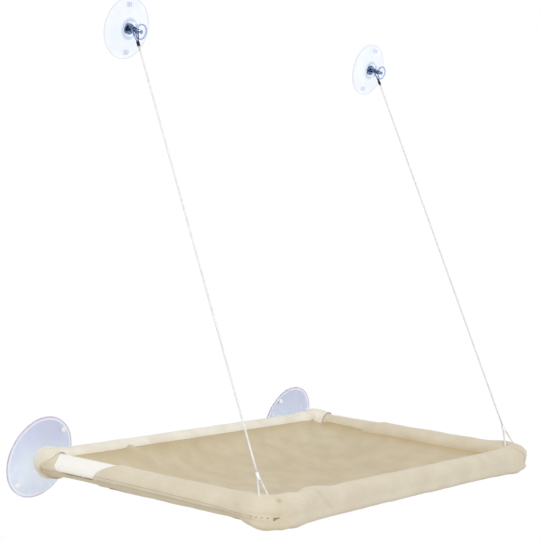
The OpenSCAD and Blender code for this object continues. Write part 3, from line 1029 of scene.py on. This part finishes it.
# Spans of the rim with closer stations, each with its step: the right corner's folded edge,
# the corners, and the rest near them
STEP_SPAN = (EDGE_HALF - 0.026, EDGE_HALF + 0.008)
CORNER_SPAN = (EDGE_HALF - 0.02, CORNER_END + 0.03)
FLAP_END_SPAN = (0.088, 0.128)
NEAR_CORNER = EDGE_HALF - 0.1
FLAP_END_STEP = 0.0010
FOLD_STEP = 0.0006
CORNER_STEP = 0.0016
NEAR_STEP = 0.003
PLAIN_STEP = 0.0045


def within(value, span):
    return span[0] < value < span[1]


def rim_stations():
    """Stations along the rim: close together at the flap ends, corners and folds."""
    stations = [-RIM_HALF]
    while stations[-1] < RIM_HALF:
        s = stations[-1]
        far = abs(s)
        from_rear = BED_D - BEND_R - past_corner(far)
        step = PLAIN_STEP
        if past_corner(far) > 0 and within(from_rear, FLAP_END_SPAN):
            step = FLAP_END_STEP
        elif within(s, STEP_SPAN):
            step = FOLD_STEP
        elif within(far, CORNER_SPAN):
            step = CORNER_STEP
        elif NEAR_CORNER < far:
            step = NEAR_STEP
        stations.append(min(RIM_HALF, s + step))
    return stations


def make_rim():
    rows = [[rim_point(s, ring_point) for ring_point in rim_section(s)] for s in rim_stations()]
    rim = cloth_piece("cover_rim", rows, True, CLOTH, COVER_T)
    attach(rim, "bed")
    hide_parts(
        "sleeve_left", "sleeve_right", "sleeve_front",
        "pocket_front_left", "pocket_front_right",
    )


make_rim()

# Rear of the cover: a sleeve on the rear tube and caps over the rear corners

REAR_TAIL = 0.0125
REAR_LEN = CORNER_END + REAR_TAIL
REAR_R = 0.0127
CAP_R = 0.0179
CAP_HEM_R = 0.0156
CLIP_COVER_R = 0.0146
SLOT_LOW_ANGLE = -66.0
SLOT_HIGH_ANGLE = 82.0
SLOT_MARGIN = 0.0022
CLIP_BULGE_W = 0.022
CLIP_BULGE_SLOPE = 1.6
CAP_START_SPAN = (-0.004, 0.014)
CAP_HEM_FADE = 0.020
REAR_COUNT = 300
REAR_COLS = 48


def cap_share(far):
    return rise_from(far - EDGE_HALF, *CAP_START_SPAN)


def rear_radius(far):
    over_clip = smooth(bump(far, CUP_SPACING / 2, CLIP_BULGE_W) * CLIP_BULGE_SLOPE)
    cap_r = mix(CAP_R, CAP_HEM_R, smooth(1 - (REAR_LEN - far) / CAP_HEM_FADE))
    return max(mix(REAR_R, CLIP_COVER_R, over_clip), mix(REAR_R, cap_r, cap_share(far)))


REAR_WAVE = (0.0006, 30.0, 21.0)
REAR_FINE = (0.0003, 90.0, 5.0)
TURN_WAVE = 0.01
TURN_FINE = 0.02
HEM_ANGLES = (330.0, -30.0)
HEM_SPREAD = 85.0
HEM_PULL = 0.017
HEM_CUT = 0.0004
HEM_CUT_HILL = (0.0042, 0.0008)
# Painted shade: on the outer side of the cap's hem near each end, and under the sleeve
REAR_HEM_SHADE = 0.35
UNDER_SAG = 0.0018
UNDER_SAG_HILL = (270.0, 60.0)
UNDER_SHADE = 0.25
UNDER_SHADE_HILL = (270.0, 70.0)
INNER_HILL = (120.0, 55.0)
INNER_SAG = (0.0008, 22.0, 13.0)
LAST_FADE = 0.022


def rear_point(s, col):
    """A point of the rear cover, and its painted shade: how light it is."""
    far = abs(s)
    last_share = smooth(1 - (REAR_LEN - far) / LAST_FADE)
    x0, y0, nx, ny = rear_place(s)
    turn = 2 * pi * col / REAR_COLS
    angle = degrees(turn)
    normal_out = cos(turn)
    normal_up = sin(turn)
    radius = rear_radius(far)
    radius += ripple(REAR_WAVE, x0, y0, turn * TURN_WAVE)
    radius += ripple(REAR_FINE, s, turn * TURN_FINE)
    radius -= HEM_CUT * bump(REAR_LEN - far, *HEM_CUT_HILL)
    outer_low = max(bump(angle, middle, HEM_SPREAD) for middle in HEM_ANGLES)
    inner = bump(angle, *INNER_HILL) * (1 - cap_share(far))
    sag = inner * (INNER_SAG[0] + ripple(INNER_SAG, s))
    sag += UNDER_SAG * bump(angle, *UNDER_SAG_HILL)
    # Painted shade at the hems and underneath
    tone = 1.0 - REAR_HEM_SHADE * last_share * outer_low
    tone -= UNDER_SHADE * bump(angle, *UNDER_SHADE_HILL)
    place = bed(
        x0 + nx * radius * normal_out,
        y0 + ny * radius * normal_out + HEM_PULL * outer_low * last_share,
        radius * normal_up - sag,
    )
    return place, clamp(tone)


def make_rear():
    stations = [mix(-REAR_LEN, REAR_LEN, k / REAR_COUNT) for k in range(REAR_COUNT + 1)]
    rows = [[rear_point(s, col) for col in range(REAR_COLS)] for s in stations]

    def in_slot(j, i):
        """Whether a face lies in the slot that a clip needs."""
        middle = abs(stations[j] + stations[j + 1]) / 2
        angle = 360.0 * (i + 0.5) / REAR_COLS
        if angle > 180:
            angle -= 360
        beside = abs(middle - CUP_SPACING / 2) < CLIP_HALF_W + SLOT_MARGIN
        return beside and SLOT_LOW_ANGLE < angle < SLOT_HIGH_ANGLE

    rear = cloth_piece("cover_rear", rows, True, CLOTH_REAR, COVER_T, skip=in_slot)
    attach(rear, "bed")
    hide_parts("sleeve_rear", "pocket_rear_left", "pocket_rear_right")


make_rear()

# Sling: one sheet hung inside the rim

SLING_COLS = 132
SLING_ROWS = 88
SLING_LOW = 0.0092
SLING_T = 0.0009
EDGE_REACH = 0.013
REAR_EDGE_UP = 0.0036
FRONT_EDGE_UP = -0.0040
EDGE_TUCK = 0.0003
SPOKE_MIN = 0.0001


def edge_in(radius, up):
    """How far inside a roll's axis the sling's edge lies, at its height, tucked in the cloth."""
    return sqrt(radius ** 2 - up ** 2) - EDGE_TUCK


def sling_edges(s, t):
    """Side, rear and front edges of the sling, in the bed's axes, at shares of its sides."""
    side_half = rim_half(far_at(t * BED_D))
    side_at = HALF_W - edge_in(side_half, mix(REAR_EDGE_UP, FRONT_EDGE_UP, t))
    x = (2 * s - 1) * side_at
    back = -edge_in(rear_radius(abs(x)), REAR_EDGE_UP)
    front = edge_in(rim_half(abs(x)), FRONT_EDGE_UP) - BED_D
    return x, mix(back, front, t), side_at, back, front


HANG_ACROSS_POWER = 2.4
HANG_DEPTH_POWER = 2.6
FOLD_H = 0.0018
FOLD_COUNT = 3
CORNER_SQUEEZE = 0.63
PLEAT_COUNT = 9
PLEAT_WANDER = 2.2
PLEAT_SEEDS = (3.0, 7.0)
PLEAT_FRONT_SEED = 11.0
PLEAT_H = 0.0024
PLEAT_FADE = 4.2
PLEAT_START = 7
SOFT = (0.0014, 14.0, 2.0)
SOFT_FINE = (0.0005, 44.0, 6.0)
SOFT_START = 4
RIDGE_X = (-0.146, -0.118)
RIDGE_LEN = 0.072
RIDGE_W = 0.0085
RIDGE_BEND = 2.5
RIDGE_START = 9
RIDGE_END = 3
RIDGE_H = 0.0040
# Painted highlight on the ridge, and painted shade in the hollow, along the edges, in the sag and
# beside the side rolls
RIDGE_LIGHT = 0.40
HOLLOW_HILLS = ((-0.170, 0.045), (-0.060, 0.055))
HOLLOW_DEPTH = 0.0030
HOLLOW_SHADE = 0.15
EDGE_SHADE = 0.55
EDGE_SHADE_SLOPE = 1.15
EDGE_SHADE_FROM = 0.25
HANG_SHADE = 0.20
HANG_SHADE_SLOPE = 1.5
SIDE_SHADE = 0.35
SIDE_SHADE_FADE = 1.1


def crowd(share):
    """A share of a side, with the ends' points set closer together."""
    return mix(share, 0.5 - 0.5 * cos(pi * share), 0.5)


def pleats_at(x, t, a, b):
    """Small pleats that fan out of each corner."""
    corner = hypot(1 - a, (1 - b) * CORNER_SQUEEZE)
    spoke = atan2((1 - b) * CORNER_SQUEEZE, max(1 - a, SPOKE_MIN))
    seed = PLEAT_SEEDS[0] if x < 0 else PLEAT_SEEDS[1]
    if t >= 0.5:
        seed += PLEAT_FRONT_SEED
    pleats = sin(spoke * PLEAT_COUNT + PLEAT_WANDER * noise.noise(Vector((spoke * 2, seed, 0))))
    return pleats * PLEAT_H * exp(-corner * PLEAT_FADE) * smooth(corner * PLEAT_START)


def ridge_at(x, y):
    """A crease that runs forward from the rear edge near the left corner."""
    along = clamp(-y / RIDGE_LEN)
    ridge_x = mix(*RIDGE_X, smooth(along * RIDGE_BEND))
    ends = smooth((1.0 - along) * RIDGE_END) * smooth(along * RIDGE_START)
    return bump(x, ridge_x, RIDGE_W) * ends


def sling_point(i, j):
    """A point of the sling, with its hang, folds and wrinkles, and its painted shade and highlight:
    how light it is.
    """
    s = crowd(i / SLING_COLS)
    t = crowd(j / SLING_ROWS)
    x, y, side_at, back, front = sling_edges(s, t)
    a = abs(2 * s - 1)
    b = abs(2 * t - 1)
    hang = (1 - a ** HANG_ACROSS_POWER) * (1 - b ** HANG_DEPTH_POWER)
    inside = sin(pi * s) * sin(pi * t)
    off_side = (side_at - abs(x)) / EDGE_REACH
    at_edge = 1.0
    for off in (off_side, (back - y) / EDGE_REACH, (y - front) / EDGE_REACH):
        at_edge *= 1 - exp(-off)
    at_edge = 1 - at_edge
    level = mix(-SLING_LOW - SLING_SAG * hang, mix(REAR_EDGE_UP, FRONT_EDGE_UP, t), at_edge)
    level += FOLD_H * sin(FOLD_COUNT * pi * (s + t)) * inside
    level += pleats_at(x, t, a, b)
    level += (ripple(SOFT, x, y) + ripple(SOFT_FINE, x, y)) * smooth(inside * SOFT_START)
    ridge = ridge_at(x, y)
    hollow = bump(x, *HOLLOW_HILLS[0]) * bump(y, *HOLLOW_HILLS[1])
    level += RIDGE_H * ridge - HOLLOW_DEPTH * hollow
    # Painted shade and painted highlight
    tone = 1.0 - EDGE_SHADE * smooth(at_edge * EDGE_SHADE_SLOPE - EDGE_SHADE_FROM)
    tone -= HANG_SHADE * smooth(hang * HANG_SHADE_SLOPE)
    tone += RIDGE_LIGHT * ridge - HOLLOW_SHADE * hollow
    tone -= SIDE_SHADE * exp(-off_side * SIDE_SHADE_FADE)
    return bed(x, y, level), clamp(tone)


def make_sling():
    rows = [[sling_point(i, j) for i in range(SLING_COLS + 1)] for j in range(SLING_ROWS + 1)]
    sling = cloth_piece("sling_cloth", rows, False, CLOTH_SLING, SLING_T, 0.0)
    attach(sling, "bed")
    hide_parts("sling")


make_sling()

# Fastening tape on the side rolls, with a frayed lower edge

TAPE_START = 0.0265
TAPE_ANGLES = (202.0, 82.0)
TAPE_R = 0.0129
TAPE_T = 0.0009
TAPE_UNDER = 0.036
TAPE_ROWS = 90
TAPE_COLS = 40
TAPE_END_SHARE = 0.12
TAPE_END_NARROW = 0.35
TAPE_FRAY_SHARE = 0.1
TAPE_FRAY_ANGLE = 5.0
TAPE_FRAY_SCALE = 260.0
TAPE_FRAY_SEED = 4.0
TAPE_EDGE_THIN = 0.6
TAPE_EDGE_POWER = 6
TAPE_NAP = (0.00022, 900.0, 7.0)
TAPE_NAP_TURN = 0.04
TAPE_CLOTH_SHARE = 0.8


def tape_point(side, row, col):
    """A point of the tape, from its round rear end to where it goes under the flap."""
    along = row / TAPE_ROWS
    around = col / TAPE_COLS
    round_end = 1 - (1 - clamp(along / TAPE_END_SHARE)) ** 2
    narrowing = mix(TAPE_END_NARROW, 1.0, sqrt(round_end))
    angle = mix(*TAPE_ANGLES, 0.5 + (around - 0.5) * narrowing)
    from_rear = TAPE_START + (TAPE_LEN + TAPE_UNDER) * along
    fray = smooth(1 - around / TAPE_FRAY_SHARE)
    shift = wrinkle(from_rear, 0, 0, TAPE_FRAY_SCALE, side * TAPE_FRAY_SEED)
    angle += fray * TAPE_FRAY_ANGLE * shift
    radius = TAPE_R + TAPE_T * (1 - TAPE_EDGE_THIN * abs(2 * around - 1) ** TAPE_EDGE_POWER)
    radius += ripple(TAPE_NAP, from_rear, around * TAPE_NAP_TURN)
    turn = radians(angle)
    return bed(side * (HALF_W - radius * cos(turn)), -from_rear, radius * sin(turn))


def make_tape(side):
    points = [
        tape_point(side, row, col) for row in range(TAPE_ROWS + 1) for col in range(TAPE_COLS + 1)
    ]
    faces = grid_faces(TAPE_ROWS + 1, TAPE_COLS + 1, False)
    if side == LEFT:
        faces = [tuple(reversed(face)) for face in faces]
    name = side_name(side)
    tape = mesh_piece("fuzzy_tape_" + name, points, faces, FUZZY)
    thicken(tape, TAPE_T * TAPE_CLOTH_SHARE)
    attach(tape, "bed")
    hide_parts("tape_" + name)


for each_side in (LEFT, RIGHT):
    make_tape(each_side)

# Stitches: short bars of thread along a line on the cover

STITCH_LEN = 0.0013
STITCH_PITCH = 0.0030
STITCH_R = 0.00028
STITCH_SIDES = 6
STITCH_SHAPE = ((0.0, 0.35), (0.2, 1.0), (0.8, 1.0), (1.0, 0.35))


def stitch_mesh(name, lines, material, radius=STITCH_R):
    """One mesh of many stitches; each line is a pair of end points and an outward direction."""
    points = []
    faces = []
    for start, end, outward in lines:
        across = unit(unit(end - start).cross(outward))
        rings = [
            ring_of(start.lerp(end, share), across, outward, radius, STITCH_SIDES, size)
            for share, size in STITCH_SHAPE
        ]
        new_points, new_faces = closed_tube(rings)
        faces += [tuple(len(points) + k for k in face) for face in new_faces]
        points += new_points
    return mesh_piece(name, points, faces, material)


OUTER_NORMAL = 0.05


def on_rim(s, up, lift):
    """A point just off the rim's outer face, at a height in its section, and the way out."""
    ring = rim_section(s)
    outer = [k for k in range(SECTION_COLS) if ring[k][2] > OUTER_NORMAL]
    near = min(outer, key=lambda k: abs(ring[k][1] - up))
    after = ring[(near + 1) % SECTION_COLS]
    if (ring[near][1] - up) * (after[1] - up) > 0:
        after = ring[near - 1]
    gap = after[1] - ring[near][1]
    share = clamp((up - ring[near][1]) / gap) if abs(gap) > TINY else 0.0
    point = tuple(mix(a, b, share) for a, b in zip(ring[near], after))
    place, tone = rim_point(s, point)
    x0, y0, nx, ny = rim_place(s)
    outward = unit(bed(nx * point[2], ny * point[2], point[3]) - bed(0, 0, 0))
    return place + outward * lift, outward


STITCH_LIFT = COVER_T + 0.0002
STITCH_ABOVE = (0.0019, 0.0032)
SIDE_STITCH_R = 0.00042
TACK_STITCHES = 5
TACK_AT = SEAM_AT + 0.0015
TACK_STEP = 0.0006
TACK_HALF = 0.0022
TACK_RISE = 0.0009
STITCH_START = 0.004
STITCH_SPAN = (BED_D - 0.10, 0.08)
STITCH_END_SHARE = 0.4


def rim_line(side, ends, lift=STITCH_LIFT):
    """One stitch on the rim between two ends, each a distance along the rim and a height."""
    start, end = [on_rim(side * far, up, lift) for far, up in ends]
    return start[0], end[0], start[1]


def side_stitch_up(from_rear):
    front_share = fall_from(from_rear, *STITCH_SPAN)
    return flap_low_at(from_rear) + mix(*STITCH_ABOVE, front_share)


def make_side_stitches(side):
    """The row of stitches above the side flap's lower edge."""
    lines = []
    from_rear = FLAP_END + STITCH_START
    while from_rear < BED_D - BEND_R * STITCH_END_SHARE:
        ends = [(far_at(at), side_stitch_up(at)) for at in (from_rear, from_rear + STITCH_LEN)]
        lines.append(rim_line(side, ends))
        from_rear += STITCH_PITCH
    name = side_name(side)
    stitches = stitch_mesh("side_stitches_" + name, lines, THREAD, SIDE_STITCH_R)
    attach(stitches, "bed")


def make_tack(side):
    """Short dark bars of thread where the side hem meets the corner's seam."""
    lines = []
    middle = side_stitch_up(BED_D)
    for k in range(TACK_STITCHES):
        up = middle + (k - TACK_STITCHES / 2) * TACK_STEP
        ends = [(TACK_AT + way * TACK_HALF, up - way * TACK_RISE) for way in (1, -1)]
        lines.append(rim_line(side, ends))
    tack = stitch_mesh("tack_" + side_name(side), lines, DARK_THREAD)
    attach(tack, "bed")


FRAY_FROM = 0.046
FRAY_TO = 0.092
FRAY_STEP = 0.0016
FRAY_LEN = 0.00252
FRAY_LIFT = STITCH_LIFT + 0.0003
FRAY_R = STITCH_R * 0.8
FRAY_UP = -0.0040
FRAY_LOW = -0.0058
FRAY_DRIFT = 0.0026
FRAY_DRIFT_NOISE = (700.0, 17.0)
FRAY_LEN_NOISE = (410.0, 31.0)
FRAY_STEP_SHARE = 0.7
FRAY_STEP_SPREAD = 0.6


def make_fray(side):
    """Loose threads along the tape's lower edge."""
    lines = []
    from_rear = FRAY_FROM
    while from_rear < FRAY_TO:
        drift = wrinkle(from_rear, 0, 0, *FRAY_DRIFT_NOISE)
        spread = abs(wrinkle(from_rear, 0, 0, *FRAY_LEN_NOISE))
        length = FRAY_LEN * (1 + spread)
        low = FRAY_LOW - FRAY_DRIFT * drift
        ends = ((far_at(from_rear), FRAY_UP), (far_at(from_rear + length), low))
        lines.append(rim_line(side, ends, FRAY_LIFT))
        from_rear += FRAY_STEP * (FRAY_STEP_SHARE + FRAY_STEP_SPREAD * abs(drift))
    fray = stitch_mesh("fray_" + side_name(side), lines, THREAD, FRAY_R)
    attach(fray, "bed")


for each_side in (LEFT, RIGHT):
    make_side_stitches(each_side)
    make_tack(each_side)
    make_fray(each_side)

# Backdrop and light

SKY_COLOR = (0.97, 0.98, 1.0, 1)
SKY_STRENGTH = 0.62


def make_world():
    """White where the camera, a reflection or clear plastic sees it, and a softer sky for light."""
    world = bpy.data.worlds.new("studio")
    scene.world = world
    world.use_nodes = True
    tree = world.node_tree
    tree.nodes.clear()
    out = add_node(tree, "ShaderNodeOutputWorld")
    seen = add_node(tree, "ShaderNodeBackground", Color=(1, 1, 1, 1), Strength=1.0)
    lit = add_node(tree, "ShaderNodeBackground", Color=SKY_COLOR, Strength=SKY_STRENGTH)
    path = add_node(tree, "ShaderNodeLightPath").outputs
    share = math_node("MAXIMUM", path["Is Camera Ray"], path["Is Glossy Ray"])
    share = math_node("MAXIMUM", share, path["Is Transmission Ray"])
    pick = add_node(tree, "ShaderNodeMixShader")
    join(share, pick.inputs["Fac"])
    join(lit.outputs[0], pick.inputs[1])
    join(seen.outputs[0], pick.inputs[2])
    join(pick.outputs[0], out.inputs["Surface"])


# Name, place, target, size, power in watts and colour of each round lamp
LIGHTS = (
    ("key", (-1.4, -1.6, 2.2), (0, -0.2, 0.1), 1.6, 32.0, (1.0, 0.985, 0.96)),
    ("fill", (1.8, -1.5, 1.0), (0, -0.2, 0.1), 2.0, 10.0, (0.95, 0.97, 1.0)),
    ("bounce", (-1.3, -1.0, -0.9), (-0.2, -0.2, 0.0), 1.2, 6.5, (1.0, 0.94, 0.84)),
    ("above", (-1.3, 1.2, 1.3), (-0.2, -0.1, 0.0), 0.8, 8.0, (1.0, 0.99, 0.97)),
)


def add_area(name, place, target, size, power, color):
    data = bpy.data.lights.new(name, "AREA")
    data.shape = "DISK"
    data.size = size
    data.energy = power
    data.color = color
    lamp = bpy.data.objects.new(name, data)
    toward = unit(Vector(target) - Vector(place))
    turn = toward.to_track_quat("-Z", "Y").to_matrix().to_4x4()
    lamp.matrix_world = Matrix.Translation(Vector(place)) @ turn
    scene.collection.objects.link(lamp)


make_world()
for light in LIGHTS:
    add_area(*light)

scene.view_settings.view_transform = "Standard"
